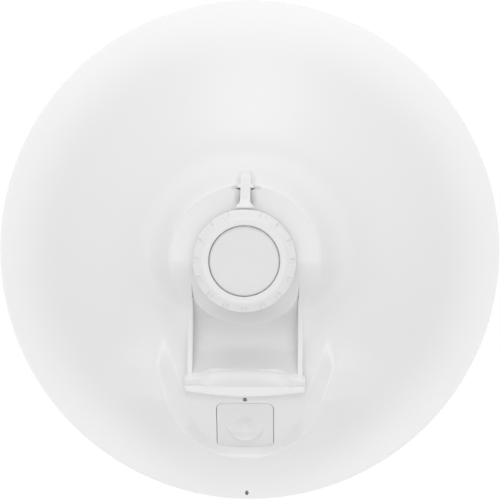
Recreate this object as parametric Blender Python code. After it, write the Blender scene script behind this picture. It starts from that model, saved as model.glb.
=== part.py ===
"""A small parabolic dish antenna for a wireless bridge: reflector, feed, rear housing, lock ring and port cover.

Every piece is modelled in the dish's own frame, which is the frame of the empty dish_frame: X to the right as
seen from behind, Y up, and Z the depth behind the rim, towards the mast. The empty turns that frame so that
world +Z is up and world +Y is the boresight, and sets world zero on the flat face of the hub disc.
"""

import math

import bmesh
import bpy

# Driving dimensions, in metres
GAP = 0.0003
RIM_RADIUS = 0.130
RIM_SEAT_RADIUS = 0.1283
DISH_RINGS = 9
SKIN_EDGE_RADIUS = 0.1297
RIM_FRONT = -0.0045
RIM_BACK = -0.0007
REFLECTOR_FOCUS = 0.109
REFLECTOR_THICKNESS = 0.0020
SKIN_FOCUS = 0.104

HEAD_DEPTH = 0.070
HEAD_FLAT_RADIUS = 0.0355
HEAD_CORE_RADIUS = 0.038
HEAD_SEAT_RADIUS = 0.043
HEAD_SEAT_DEPTH = 0.046
HEAD_LOW_END = -0.0083
FLANK_REACH = 0.008
FLANK_BLEND = 0.006

ARM_INNER = 0.0259
ARM_OUTER = 0.0286
ARM_TOP = -0.017
ARM_VALLEY = -0.027
ARM_VALLEY_DEPTH = 0.052
ARM_END_DEPTH = 0.056
WEB_DEPTH = 0.0405
WEB_BEND = -0.036
WEB_RISE = 0.0120
WEB_SIDE_RISE = 0.0010
BOSS_RADIUS = 0.0258
BOSS_REACH = 0.0068
BOSS_EDGE = 0.0012
TROUGH_DEPTH = 0.0391
TROUGH_BEND = -0.040

LIP_HALF = 0.0301
LIP_FRONT = 0.0575
LIP_ARC = 0.131
LIP_CREST = -0.0556
LIP_TOP = -0.0639
LIP_UNDERSIDE = -0.0688
LIP_BACK = 0.0443

FLOOR_BEND = -0.071
FLOOR_DEPTH = 0.050
FLOOR_SLOPE = 0.613
FLOOR_FALL = 0.006
FLOOR_SIDE_SLOPE = 0.25
POCKET_TOP = -0.056
POCKET_BOTTOM = -0.0971
POCKET_HALF = 0.0302
POCKET_TAPER = 0.345
POCKET_CORNER = 0.014
POCKET_WALL = 0.0058
POCKET_FADE = 0.024
POCKET_BAND_SIDE = 0.0074
POCKET_BAND_BOTTOM = 0.0044
POCKET_BROW = 0.0015
CHIN_REACH = 0.016
CHIN_REACH_UP = 0.022
CHIN_FADE = 0.024

RING_RADIUS = 0.0249
RING_FACE_RADIUS = 0.0211
RING_BORE = 0.0195
RING_MOUTH = 0.0172
RING_FRONT = 0.082
RING_NOTCHES = 16
RING_NOTCH_HALF = 0.0010
RING_NOTCH_DEPTH = 0.0045
HUB_TOP = 0.0765
HUB_FACE = 0.0802

TONGUE_ROOT = 0.0254
TONGUE_BEND = 0.0295
TONGUE_TIP = 0.0420
TONGUE_HALF = 0.00245
TONGUE_HINGE_DEPTH = 0.0775

COVER_HALF = 0.0142
COVER_LENGTH = 0.0292
COVER_THICKNESS = 0.0022
COVER_TOP_CORNER = 0.0035
COVER_LOW_CORNER = 0.0010
COVER_CENTRE = -0.0855
LIGHT_CENTRE = -0.0712
LIGHT_RADIUS = 0.0008
DRAIN_CENTRE = -0.1262

BAY_HALF = 0.0125
BAY_WALL = 0.001
SOCKET_HALF = 0.0078
SOCKET_MOUTH = -0.0745
SOCKET_END = -0.0585
SOCKET_NEAR = 0.0295
SOCKET_FAR = 0.0415

FEED_TUBE_RADIUS = 0.0070
FEED_TIP = -0.0755
SUB_REFLECTOR_RADIUS = 0.022

SMOOTH_ANGLE = math.radians(30)


def smoothstep(t):
    """A number that eases from 0 to 1 as t goes from 0 to 1."""
    t = min(max(t, 0.0), 1.0)
    return t * t * (3 - 2 * t)


def soft_minimum(a, b, width):
    """The smaller of two numbers, rounded off where they come within the width of each other."""
    near = max(width - abs(a - b), 0.0) / width
    return min(a, b) - near * near * width / 4


# The shapes that several pieces share, as depths behind the rim


def reflector_front(radius):
    return RIM_FRONT + (RIM_SEAT_RADIUS**2 - radius**2) / (4 * REFLECTOR_FOCUS)


def reflector_back(radius):
    return reflector_front(radius) + REFLECTOR_THICKNESS


def dish_rings():
    """The radii that the reflector and its seat in the housing share, so that their facets nest."""
    return [RIM_SEAT_RADIUS * i / DISH_RINGS for i in range(DISH_RINGS + 1)]


def floor_depth(x, up):
    """The pocket's floor: sloped below the lip, nearly level beside the arm, and running up to the head above."""
    low = FLOOR_SLOPE * min(up - FLOOR_BEND, 0.0)
    fall = FLOOR_FALL * smoothstep((up + 0.066) / 0.040)
    beside = FLOOR_SIDE_SLOPE * max(abs(x) - ARM_OUTER, 0.0)
    return FLOOR_DEPTH + low - fall - beside


def outside_pocket(x, up):
    """How far a point lies outside the pocket's floor, which has straight sides and round lower corners."""
    beside = abs(x) - POCKET_HALF - POCKET_TAPER * (up - FLOOR_BEND)
    beside = beside / math.hypot(1, POCKET_TAPER) + POCKET_CORNER
    below = POCKET_BOTTOM - up + POCKET_CORNER
    return min(max(beside, below), 0.0) + math.hypot(max(beside, 0.0), max(below, 0.0)) - POCKET_CORNER


def pocket_band(up):
    """The width of the pocket's sloped wall, narrower along the bottom."""
    return POCKET_BAND_BOTTOM + (POCKET_BAND_SIDE - POCKET_BAND_BOTTOM) * smoothstep((up - POCKET_BOTTOM) / 0.020)


def pocket_depth(x, up):
    """The pocket's floor and its sloped wall, which leaves the floor at a crease."""
    wall = POCKET_WALL * max(outside_pocket(x, up), 0.0) / pocket_band(up)
    return floor_depth(x, up) + wall


def chin_depth(x, up):
    """The plain back of the dish, swollen round the pocket to make room for the port bay."""
    radius = math.hypot(x, up)
    plain = (RIM_RADIUS**2 - radius**2) / (4 * SKIN_FOCUS)
    beside = max(outside_pocket(x, min(up, POCKET_TOP)) - pocket_band(up), 0.0) / CHIN_REACH
    away = math.hypot(beside, max(up - POCKET_TOP, 0.0) / CHIN_REACH_UP)
    brow = floor_depth(x, up) + POCKET_WALL
    share = math.exp(-away**1.5) * smoothstep((RIM_SEAT_RADIUS - radius) / CHIN_FADE)
    return plain + max(brow - plain, 0.0) * share


def face_depth(up):
    """The keyhole's face: level round the ring, dipping beside it, and coming out again down the arm."""
    dip = (HEAD_DEPTH - ARM_VALLEY_DEPTH) * smoothstep(up / ARM_VALLEY)
    rise = (ARM_END_DEPTH - ARM_VALLEY_DEPTH) * smoothstep((ARM_VALLEY - up) / 0.034)
    return HEAD_DEPTH - dip + rise


def outside_keyhole(x, up):
    """How far a point lies outside the keyhole: a round head with the straight arm below it."""
    head = math.hypot(x, up) - HEAD_CORE_RADIUS
    arm = math.hypot(max(abs(x) - ARM_OUTER, 0.0), max(up, LIP_UNDERSIDE - up, 0.0))
    return max(soft_minimum(head, arm, FLANK_BLEND), 0.0)


def skin_depth(x, up):
    """The outer skin: the keyhole's flank runs out into the dish's back, and the pocket sunk in it fades upwards."""
    ground = chin_depth(x, up)
    rise = max(face_depth(up) - ground, 0.0)
    full = ground + rise * math.exp(-outside_keyhole(x, up) / FLANK_REACH)
    sunk = soft_minimum(full, pocket_depth(x, up), POCKET_BROW)
    return sunk + (full - sunk) * smoothstep((up - POCKET_TOP) / POCKET_FADE)


def seat_half_width(up):
    return max(math.sqrt(max(HEAD_SEAT_RADIUS**2 - up**2, 0.0)) - GAP, ARM_OUTER)


def face_half_width(up):
    return max(math.sqrt(max((HEAD_FLAT_RADIUS + 0.001) ** 2 - up**2, 0.0)), ARM_OUTER - 0.0006)


def trough_depth(up):
    """The floor of the trough that the arm's pieces lie in, shallower where the socket is behind it."""
    along = min(max((TROUGH_BEND - up) / (TROUGH_BEND - LIP_CREST), 0.0), 1.0)
    return TROUGH_DEPTH + (LIP_BACK - GAP - TROUGH_DEPTH) * along


def web_depth(x, up):
    """The scooped face between the arm's sides: it flares out of the boss round the hub and ramps to the lip."""
    along = max((WEB_BEND - up) / (WEB_BEND - LIP_CREST), 0.0)
    across = x / ARM_INNER
    web = WEB_DEPTH + WEB_RISE * along**2 + WEB_SIDE_RISE * across**2
    past_boss = math.hypot(max(math.hypot(x, up) - BOSS_RADIUS, 0.0), BOSS_EDGE) - BOSS_EDGE
    return web + (HEAD_DEPTH - web) * math.exp(-past_boss / BOSS_REACH)


# Making meshes


def material(name, colour, roughness, metallic=0.0):
    finish = bpy.data.materials.new(name)
    finish.use_nodes = True
    shader = finish.node_tree.nodes["Principled BSDF"]
    shader.inputs["Base Color"].default_value = (*colour, 1.0)
    shader.inputs["Roughness"].default_value = roughness
    shader.inputs["Metallic"].default_value = metallic
    return finish


def placed(name, mesh, finish, parent):
    """An object for the mesh, in its parent's frame, with smooth round faces and sharp edges."""
    piece = bpy.data.objects.new(name, mesh)
    bpy.context.scene.collection.objects.link(piece)
    piece.parent = parent
    if finish:
        mesh.materials.append(finish)
    mesh.shade_smooth()
    mesh.set_sharp_from_angle(angle=SMOOTH_ANGLE)
    return piece


def mesh_of(name, shape):
    bmesh.ops.recalc_face_normals(shape, faces=shape.faces)
    mesh = bpy.data.meshes.new(name)
    shape.to_mesh(mesh)
    shape.free()
    return mesh


def lofted(name, loops, finish, parent):
    """A closed body through loops that all have the same number of points, capped at both ends."""
    shape = bmesh.new()
    rows = [[shape.verts.new(point) for point in loop] for loop in loops]
    count = len(rows[0])
    for low, high in zip(rows, rows[1:]):
        for i in range(count):
            shape.faces.new((low[i], low[(i + 1) % count], high[(i + 1) % count], high[i]))
    shape.faces.new(reversed(rows[0]))
    shape.faces.new(rows[-1])
    return placed(name, mesh_of(name, shape), finish, parent)


def plate(name, outline, near, far, finish, parent):
    """A plate whose outline is given in X and Y, between two depths."""
    loops = [[(x, up, depth) for x, up in outline] for depth in (near, far)]
    return lofted(name, loops, finish, parent)


def side_plate(name, profile, left, right, finish, parent):
    """A body whose side view is given in Y and depth, between two places across."""
    loops = [[(x, up, depth) for up, depth in profile] for x in (left, right)]
    return lofted(name, loops, finish, parent)


def block(name, low, high, finish, parent):
    outline = [(low[0], low[1]), (high[0], low[1]), (high[0], high[1]), (low[0], high[1])]
    return plate(name, outline, low[2], high[2], finish, parent)


def turned(name, profile, steps, finish, parent):
    """A body turned about the depth axis. The profile runs down its outer side, as radius and depth."""
    mesh = bpy.data.meshes.new(name)
    points = [(radius, 0.0, depth) for radius, depth in profile]
    edges = [(i, i + 1) for i in range(len(points) - 1)]
    if profile[0][0] > 0:
        edges.append((len(points) - 1, 0))
    mesh.from_pydata(points, edges, [])
    piece = placed(name, mesh, finish, parent)
    screw = piece.modifiers.new("turn", "SCREW")
    screw.steps = steps
    screw.render_steps = steps
    screw.use_merge_vertices = True
    screw.merge_threshold = 0.00001
    return piece


def boolean(piece, other, operation="DIFFERENCE"):
    other.hide_render = True
    other.display_type = "WIRE"
    step = piece.modifiers.new(other.name, "BOOLEAN")
    step.operation = operation
    step.object = other


def arc(centre, radius, start, end, count):
    """Points on an arc, with its angles in degrees."""
    points = []
    for i in range(count + 1):
        angle = math.radians(start + (end - start) * i / count)
        points.append((centre[0] + radius * math.cos(angle), centre[1] + radius * math.sin(angle)))
    return points


def circle(centre, radius, count):
    return arc(centre, radius, 0, 360 - 360 / count, count - 1)


def grown(outline, margin):
    """A polygon, drawn anticlockwise, with each of its sides moved outwards by the margin."""
    points = []
    count = len(outline)
    for i in range(count):
        before, here, after = outline[i - 1], outline[i], outline[(i + 1) % count]
        normals = []
        for start, end in ((before, here), (here, after)):
            length = math.dist(start, end)
            normals.append(((end[1] - start[1]) / length, (start[0] - end[0]) / length))
        (ax, ay), (bx, by) = normals
        scale = margin / (1 + ax * bx + ay * by)
        points.append((here[0] + (ax + bx) * scale, here[1] + (ay + by) * scale))
    return points


def frame_empty(name, location, tilt, parent=None):
    empty = bpy.data.objects.new(name, None)
    bpy.context.scene.collection.objects.link(empty)
    empty.parent = parent
    empty.location = location
    empty.rotation_euler = (tilt, 0, 0)
    return empty


# The front: reflector and feed


def make_reflector(frame, white):
    """The thin paraboloid, with a lip round its rim that laps over the housing's edge."""
    profile = [(radius, reflector_back(radius)) for radius in dish_rings()]
    profile += [
        (RIM_SEAT_RADIUS, RIM_BACK),
        (RIM_RADIUS - 0.0008, RIM_BACK),
        (RIM_RADIUS, RIM_BACK - 0.0010),
        (RIM_RADIUS, RIM_FRONT + 0.0006),
        (RIM_RADIUS - 0.0006, RIM_FRONT),
    ]
    profile += [(radius, reflector_front(radius)) for radius in reversed(dish_rings())]
    turned("reflector", profile, 72, white, frame)


def make_feed(frame, white, grey):
    """Collar, tube, dielectric cone and sub-reflector, one after the other along the boresight."""
    foot = reflector_front(0.016) - GAP
    top = foot - 0.0075
    collar = [(0, foot), (0.016, foot), (0.016, foot - 0.0035), (0.0105, top), (0, top)]
    turned("feed_collar", collar, 36, grey, frame)
    tube_foot = top - GAP
    tube_end = FEED_TIP + 0.0182
    tube = [(0, tube_foot), (FEED_TUBE_RADIUS, tube_foot), (FEED_TUBE_RADIUS, tube_end), (0, tube_end)]
    turned("feed_tube", tube, 32, white, frame)
    cone_foot = tube_end - GAP
    cone_end = FEED_TIP + 0.0040
    throat = FEED_TUBE_RADIUS + 0.0012
    cone = [(0, cone_foot), (throat, cone_foot), (throat, cone_foot - 0.003)]
    cone += [(SUB_REFLECTOR_RADIUS - 0.002, cone_end), (0, cone_end)]
    turned("feed_cone", cone, 36, white, frame)
    back = cone_end - GAP
    rim = SUB_REFLECTOR_RADIUS
    cap = [(0, back), (rim - 0.0006, back), (rim, back - 0.0008), (rim, FEED_TIP + 0.0012)]
    cap += [(rim - 0.0015, FEED_TIP), (0, FEED_TIP)]
    turned("sub_reflector", cap, 40, white, frame)


# The rear housing


def housing_body(frame, white):
    """A polar grid of the outer skin, closed by its foot on the rim's lip and the hollow for the reflector."""
    segments = 96
    edge = RIM_SEAT_RADIUS - GAP
    outer_rings = [0.022, HEAD_SEAT_RADIUS - 0.001, 0.0450, 0.0480, 0.0515, 0.0555, 0.060, 0.0645, 0.069, 0.0735]
    outer_rings += [0.078, 0.082, 0.086, 0.090, 0.0935, 0.097, 0.1005, 0.1045, 0.109, 0.114, 0.119, 0.124]
    inner_rings = dish_rings()[1:-1] + [edge]
    shape = bmesh.new()

    def ring(radius, depth_at):
        row = []
        for i in range(segments):
            angle = 2 * math.pi * i / segments
            x = radius * math.cos(angle)
            up = radius * math.sin(angle)
            row.append(shape.verts.new((x, up, depth_at(x, up))))
        return row

    def hollow(x, up):
        return reflector_back(math.hypot(x, up)) + GAP

    def rim_foot(x, up):
        return RIM_BACK + GAP

    outer_pole = shape.verts.new((0, 0, skin_depth(0, 0)))
    inner_pole = shape.verts.new((0, 0, hollow(0, 0)))
    rows = [ring(radius, skin_depth) for radius in outer_rings + [SKIN_EDGE_RADIUS]]
    rows += [ring(radius, rim_foot) for radius in (SKIN_EDGE_RADIUS, edge)]
    rows += [ring(radius, hollow) for radius in reversed(inner_rings)]
    for i in range(segments):
        j = (i + 1) % segments
        shape.faces.new((outer_pole, rows[0][i], rows[0][j]))
        shape.faces.new((inner_pole, rows[-1][j], rows[-1][i]))
        for near, far in zip(rows, rows[1:]):
            shape.faces.new((near[i], far[i], far[j], near[j]))
    bmesh.ops.triangulate(shape, faces=shape.faces)
    return placed("rear_housing", mesh_of("rear_housing", shape), white, frame)


def trough_cutter(frame):
    """The trough behind the arm's sides, the scooped web and the lip."""
    end = LIP_UNDERSIDE - GAP
    above = 0.090
    profile = [(ARM_TOP + GAP, above), (ARM_TOP + GAP, TROUGH_DEPTH), (TROUGH_BEND, TROUGH_DEPTH)]
    profile += [(LIP_CREST, trough_depth(LIP_CREST)), (end, trough_depth(end)), (end, above)]
    half = ARM_OUTER + GAP
    return side_plate("trough", profile, -half, half, None, frame)


def bay_profile():
    """The port bay's side view, in height and depth: the socket's room above, the plug's room below it."""
    def under_cover(up):
        thickness = (COVER_THICKNESS + BAY_WALL + 2 * GAP) * math.hypot(1, FLOOR_SLOPE)
        return FLOOR_DEPTH + FLOOR_SLOPE * (up - FLOOR_BEND) - thickness

    shoulder = -0.0765
    low = -0.0945
    return [
        (SOCKET_END + GAP, SOCKET_NEAR - GAP),
        (SOCKET_END + GAP, SOCKET_FAR + GAP),
        (-0.0735, SOCKET_FAR + GAP),
        (shoulder, under_cover(shoulder)),
        (low, under_cover(low)),
        (low, 0.0225),
        (-0.0915, 0.0195),
    ]


def cover_outline(margin):
    """The port cover in the facet's own frame, with round corners."""
    half = COVER_HALF + margin
    top = COVER_LENGTH / 2 + margin
    high = COVER_TOP_CORNER + margin
    low = COVER_LOW_CORNER + margin
    points = arc((half - high, top - high), high, 0, 90, 4)
    points += arc((-half + high, top - high), high, 90, 180, 4)
    points += arc((-half + low, -top + low), low, 180, 270, 4)
    points += arc((half - low, -top + low), low, 270, 360, 4)
    return points


def make_housing(frame, facet, white, black):
    housing = housing_body(frame, white)
    seat = [(0, 0.090), (HEAD_SEAT_RADIUS, 0.090), (HEAD_SEAT_RADIUS, HEAD_SEAT_DEPTH), (0, HEAD_SEAT_DEPTH)]
    boolean(housing, turned("head_seat", seat, 72, None, frame))
    boolean(housing, trough_cutter(frame))
    half = LIP_HALF + GAP
    low = (-half, LIP_UNDERSIDE - GAP, LIP_BACK - GAP)
    boolean(housing, block("lip_room", low, (half, LIP_TOP + GAP, 0.090), None, frame))
    recess_floor = -COVER_THICKNESS - 1.5 * GAP
    boolean(housing, plate("cover_recess", cover_outline(GAP), recess_floor, 0.012, None, facet))
    half = BAY_HALF + BAY_WALL + GAP
    room = grown(bay_profile(), BAY_WALL + GAP)
    boolean(housing, side_plate("bay_room", room, -half, half, None, frame))

    along = (LIGHT_CENTRE - COVER_CENTRE) * math.hypot(1, FLOOR_SLOPE)
    hole = circle((0, along), LIGHT_RADIUS + GAP, 12)
    boolean(housing, plate("light_hole", hole, -0.0016, 0.004, None, facet))
    plate("status_light", circle((0, along), LIGHT_RADIUS, 12), -0.0013, -0.0003, black, facet)

    drain_top = skin_depth(0, DRAIN_CENTRE) + 0.004
    slot = [(x, DRAIN_CENTRE + 1.5 * y) for x, y in circle((0, 0), 0.0010, 12)]
    boolean(housing, plate("drain_hole", slot, drain_top - 0.0055, drain_top, None, frame))
    facets = housing.modifiers.new("facets", "TRIANGULATE")
    facets.quad_method = "BEAUTY"
    facets.ngon_method = "BEAUTY"


# The keyhole: head, arm and lip


def tongue_outline():
    """The lock tongue from behind: flared root, straight shank, and two barbs below a blunt tip."""
    right = [
        (0.0050, TONGUE_ROOT),
        (0.0036, TONGUE_ROOT + 0.0012),
        (TONGUE_HALF, TONGUE_ROOT + 0.0038),
        (TONGUE_HALF, 0.0350),
        (0.0046, 0.0350),
        (TONGUE_HALF, 0.0376),
        (TONGUE_HALF, TONGUE_TIP),
    ]
    return right + [(-x, up) for x, up in reversed(right)]


def make_head(frame, white):
    """The round head that the lock ring turns on, with the notch that the tongue snaps into."""
    rim = HEAD_SEAT_RADIUS - GAP
    profile = [(RING_BORE, HEAD_DEPTH), (HEAD_FLAT_RADIUS, HEAD_DEPTH), (0.0370, HEAD_DEPTH - 0.0008)]
    profile += [(radius, skin_depth(0, radius)) for radius in (0.0386, 0.0400, 0.0415, rim)]
    profile += [(rim, HEAD_SEAT_DEPTH + GAP), (RING_BORE, HEAD_SEAT_DEPTH + GAP)]
    head = turned("bracket_head", profile, 72, white, frame)
    inside = ARM_INNER - GAP
    for name, side in (("left", -1), ("right", 1)):
        across = sorted((side * inside, side * 0.060))
        low = (across[0], -0.060, 0.040)
        boolean(head, block(f"arm_room_{name}", low, (across[1], HEAD_LOW_END, 0.090), None, frame))
    boolean(head, block("below_head", (-0.060, -0.060, 0.040), (0.060, ARM_TOP, 0.090), None, frame))
    channel_half = TONGUE_HALF + 0.0012
    low = (-channel_half, 0.0230, 0.0655)
    boolean(head, block("tongue_channel", low, (channel_half, 0.0350, 0.090), None, frame))
    right = [(0.0084, 0.0343), (0.0073, 0.0372), (0.0052, 0.0402), (0.0027, 0.0428), (0.0020, 0.0470)]
    spade = right + [(-x, up) for x, up in reversed(right)]
    boolean(head, plate("tongue_notch", spade, 0.0560, 0.090, None, frame))


def make_arm(frame, white):
    """The arm's two sides, from the flanks of the head down to the lip."""
    heights = [HEAD_LOW_END - GAP, -0.0125, ARM_TOP, ARM_TOP - 0.0002, -0.021, -0.0245, ARM_VALLEY, -0.032]
    heights += [-0.036, -0.045, LIP_CREST, LIP_TOP + GAP]
    foot = HEAD_SEAT_DEPTH + GAP
    for name, side in (("arm_side_left", -1), ("arm_side_right", 1)):
        loops = []
        for up in heights:
            outer = seat_half_width(up)
            face = face_half_width(up)
            top = face_depth(up)
            edge = min(max(skin_depth(outer, up), foot + 0.0010), top - 0.0004)
            deep = foot - 0.0002 if up >= ARM_TOP else trough_depth(up) + GAP
            section = [
                (ARM_INNER, deep),
                (ARM_INNER, top),
                (face, top),
                (face + 0.35 * (outer - face), top - 0.25 * (top - edge)),
                (outer, edge),
                (outer, foot),
                (ARM_OUTER - 0.0001, foot - 0.0001),
                (ARM_OUTER - 0.0001, deep),
            ]
            loops.append([(side * x, up, depth) for x, depth in section])
        lofted(name, loops, white, frame)


def make_web(frame, white):
    """The scooped wall between the arm's sides, with the lower part of the boss that the hub stands in."""
    heights = [ARM_TOP - GAP, -0.0195, -0.0215, -0.0235, -0.0250, -0.0262, -0.0274, -0.0290, -0.0310, -0.0335]
    heights += [WEB_BEND, -0.039, -0.0425, -0.046, -0.0495, -0.0525, LIP_CREST + GAP]
    places = [-1, -0.86, -0.72, -0.58, -0.44, -0.3, -0.1, 0.1, 0.3, 0.44, 0.58, 0.72, 0.86, 1]
    half = ARM_INNER - GAP
    loops = []
    for up in heights:
        back = trough_depth(up) + GAP
        front = [(half * place, up, web_depth(half * place, up)) for place in places]
        loops.append(front + [(half, up, back), (-half, up, back)])
    web = lofted("arm_web", loops, white, frame)
    room = [(0, 0.090), (RING_BORE, 0.090), (RING_BORE, HEAD_SEAT_DEPTH), (0, HEAD_SEAT_DEPTH)]
    boolean(web, turned("hub_room", room, 48, None, frame))


def make_lip(frame, white):
    """The bowed lip across the foot of the arm, with its sloped top and flat underside."""
    reach = math.degrees(math.asin(LIP_HALF / LIP_ARC))
    front = arc((0, LIP_FRONT - LIP_ARC), LIP_ARC, 90 - reach, 90 + reach, 14)
    outline = [(-LIP_HALF, LIP_BACK), (LIP_HALF, LIP_BACK)] + front
    loops = [[(x, up, depth) for x, depth in outline] for up in (LIP_CREST, LIP_UNDERSIDE)]
    lip = lofted("rest_lip", loops, white, frame)
    above = 0.080
    start = WEB_DEPTH + WEB_RISE
    profile = [(LIP_TOP, above), (LIP_TOP, 0.0562), (LIP_CREST, start)]
    profile += [(LIP_CREST + 0.004, start - 0.002), (LIP_CREST + 0.004, above)]
    boolean(lip, side_plate("above_lip", profile, -0.040, 0.040, None, frame))
    for name, side in (("left", -1), ("right", 1)):
        across = sorted((side * (ARM_INNER - GAP), side * 0.040))
        low = (across[0], LIP_TOP, 0.030)
        boolean(lip, block(f"arm_foot_{name}", low, (across[1], -0.050, 0.070), None, frame))


# The lock ring, its tongue and the hub


def make_lock_ring(frame, white):
    """The castellated ring on the hub, and the plain disc recessed in its mouth."""
    foot = HEAD_DEPTH + GAP
    ledge = HUB_TOP + GAP
    profile = [
        (RING_MOUTH, RING_FRONT),
        (RING_FACE_RADIUS, RING_FRONT),
        (RING_FACE_RADIUS + 0.0006, RING_FRONT - 0.0008),
        (RING_RADIUS - 0.0004, RING_FRONT - 0.0030),
        (RING_RADIUS, RING_FRONT - 0.0040),
        (RING_RADIUS, foot),
        (RING_BORE, foot),
        (RING_BORE, ledge),
        (RING_MOUTH, ledge),
    ]
    ring = turned("lock_ring", profile, 64, white, frame)
    pitch = 2 * math.pi / RING_NOTCHES
    for index in range(1, RING_NOTCHES):
        low = (RING_FACE_RADIUS + 0.0012, -RING_NOTCH_HALF, RING_FRONT - RING_NOTCH_DEPTH)
        high = (RING_RADIUS + 0.003, RING_NOTCH_HALF, RING_FRONT + 0.002)
        notch = block(f"ring_notch_{index}", low, high, None, frame)
        notch.rotation_euler = (0, 0, math.pi / 2 + pitch * index)
        boolean(ring, notch)
    hub = RING_BORE - GAP
    hub_foot = HEAD_SEAT_DEPTH + GAP
    turned("mounting_hub", [(0, HUB_TOP), (hub, HUB_TOP), (hub, hub_foot), (0, hub_foot)], 48, white, frame)
    disc = RING_MOUTH - GAP
    profile = [(0, HUB_FACE), (disc - 0.0008, HUB_FACE), (disc, HUB_FACE - 0.0008), (disc, ledge), (0, ledge)]
    turned("hub_disc", profile, 48, white, frame)


def make_tongue(frame, white):
    """The springy tongue that locks the ring: its outline from behind, cut to its side view."""
    hinge = frame_empty("tongue_hinge", (0, TONGUE_ROOT, TONGUE_HINGE_DEPTH), 0, frame)
    outline = [(x, up - TONGUE_ROOT) for x, up in tongue_outline()]
    tongue = plate("lock_tongue", outline, -0.030, 0.010, white, hinge)
    side = [
        (TONGUE_ROOT - 0.001, 0.0795),
        (TONGUE_ROOT + 0.0008, 0.0795),
        (TONGUE_BEND, 0.0735),
        (TONGUE_TIP - 0.002, 0.0662),
        (TONGUE_TIP + 0.001, 0.0630),
        (TONGUE_TIP + 0.001, 0.0590),
        (TONGUE_TIP - 0.003, 0.0620),
        (TONGUE_BEND, 0.0706),
        (TONGUE_ROOT - 0.001, 0.0760),
    ]
    profile = [(up - TONGUE_ROOT, depth - TONGUE_HINGE_DEPTH) for up, depth in side]
    boolean(tongue, side_plate("tongue_side", profile, -0.010, 0.010, None, hinge), "INTERSECT")


# The port cover and what lies behind it


def make_port(frame, facet, white, grey, metal, black, gold):
    cover = plate("port_cover", cover_outline(0.0), -COVER_THICKNESS, 0.0, white, facet)
    dimple = circle((0, 0), 0.0058, 30)
    loops = [[(x * 0.7, y * 0.7, -0.0012) for x, y in dimple], [(x * 1.1, y * 1.1, 0.0006) for x, y in dimple]]
    boolean(cover, lofted("thumb_dimple", loops, None, facet))

    inner = bay_profile()
    half = BAY_HALF + BAY_WALL
    bay = side_plate("port_bay", grown(inner, BAY_WALL), -half, half, grey, frame)
    boolean(bay, side_plate("bay_inside", inner, -BAY_HALF, BAY_HALF, None, frame))
    high_end = inner[3][0] - 0.0005
    low_end = inner[4][0] + 0.0005
    mouth = [(low_end, 0.026), (high_end, 0.034), (high_end, 0.060), (low_end, 0.060)]
    mouth_half = BAY_HALF - 0.0005
    boolean(bay, side_plate("bay_mouth", mouth, -mouth_half, mouth_half, None, frame))

    low = (-SOCKET_HALF, SOCKET_MOUTH, SOCKET_NEAR)
    socket = block("network_socket", low, (SOCKET_HALF, SOCKET_END, SOCKET_FAR), metal, frame)
    way_near = SOCKET_NEAR + 0.0015
    way_far = SOCKET_FAR - 0.0035
    way_end = SOCKET_END - 0.0010
    low = (-0.0060, SOCKET_MOUTH - 0.002, way_near)
    boolean(socket, block("plug_way", low, (0.0060, way_end, way_far), None, frame))
    low = (-0.0032, SOCKET_MOUTH - 0.002, way_far - 0.001)
    boolean(socket, block("clip_way", low, (0.0032, way_end, SOCKET_FAR - 0.0015), None, frame))
    insert_end = way_end - 0.0033
    low = (-0.0057, insert_end, way_near + GAP)
    block("socket_insert", low, (0.0057, way_end - GAP, way_far - GAP), black, frame)

    comb_top = insert_end - GAP
    low = (-0.0046, comb_top - 0.0008, way_near + GAP)
    comb = block("socket_contacts", low, (0.0046, comb_top, way_near + 0.0022), gold, frame)
    for index in range(8):
        x = 0.00102 * (index - 3.5)
        low = (x - 0.0002, comb_top - 0.0060, way_near + GAP)
        high = (x + 0.0002, comb_top - 0.0004, way_near + 0.0011)
        boolean(comb, block(f"contact_{index}", low, high, None, frame), "UNION")
    button = circle((0.0102, 0.0355), 0.0012, 12)
    loops = [[(x, up, depth) for x, depth in button] for up in (SOCKET_END, SOCKET_END - 0.0080)]
    lofted("reset_button", loops, black, frame)


def main():
    for old in list(bpy.data.objects):
        bpy.data.objects.remove(old)
    white = material("white_plastic", (0.86, 0.86, 0.86), 0.35)
    grey = material("grey_plastic", (0.62, 0.62, 0.62), 0.5)
    black = material("black_plastic", (0.02, 0.02, 0.02), 0.5)
    metal = material("plated_steel", (0.72, 0.72, 0.70), 0.3, 1.0)
    gold = material("gold_contact", (0.90, 0.70, 0.30), 0.25, 1.0)

    frame = frame_empty("dish_frame", (0, HUB_FACE, 0), math.pi / 2)
    facet_depth = FLOOR_DEPTH + FLOOR_SLOPE * (COVER_CENTRE - FLOOR_BEND)
    facet = frame_empty("cover_facet", (0, COVER_CENTRE, facet_depth), math.atan(FLOOR_SLOPE), frame)
    make_reflector(frame, white)
    make_feed(frame, white, grey)
    make_housing(frame, facet, white, black)
    make_head(frame, white)
    make_arm(frame, white)
    make_web(frame, white)
    make_lip(frame, white)
    make_lock_ring(frame, white)
    make_tongue(frame, white)
    make_port(frame, facet, white, grey, metal, black, gold)


main()
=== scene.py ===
"""The looks of a small parabolic dish antenna: its moulded shell, lock ring, feed, port cover and socket."""

import math

import bmesh
import bpy
import numpy as np
from mathutils import Matrix, Vector


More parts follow.
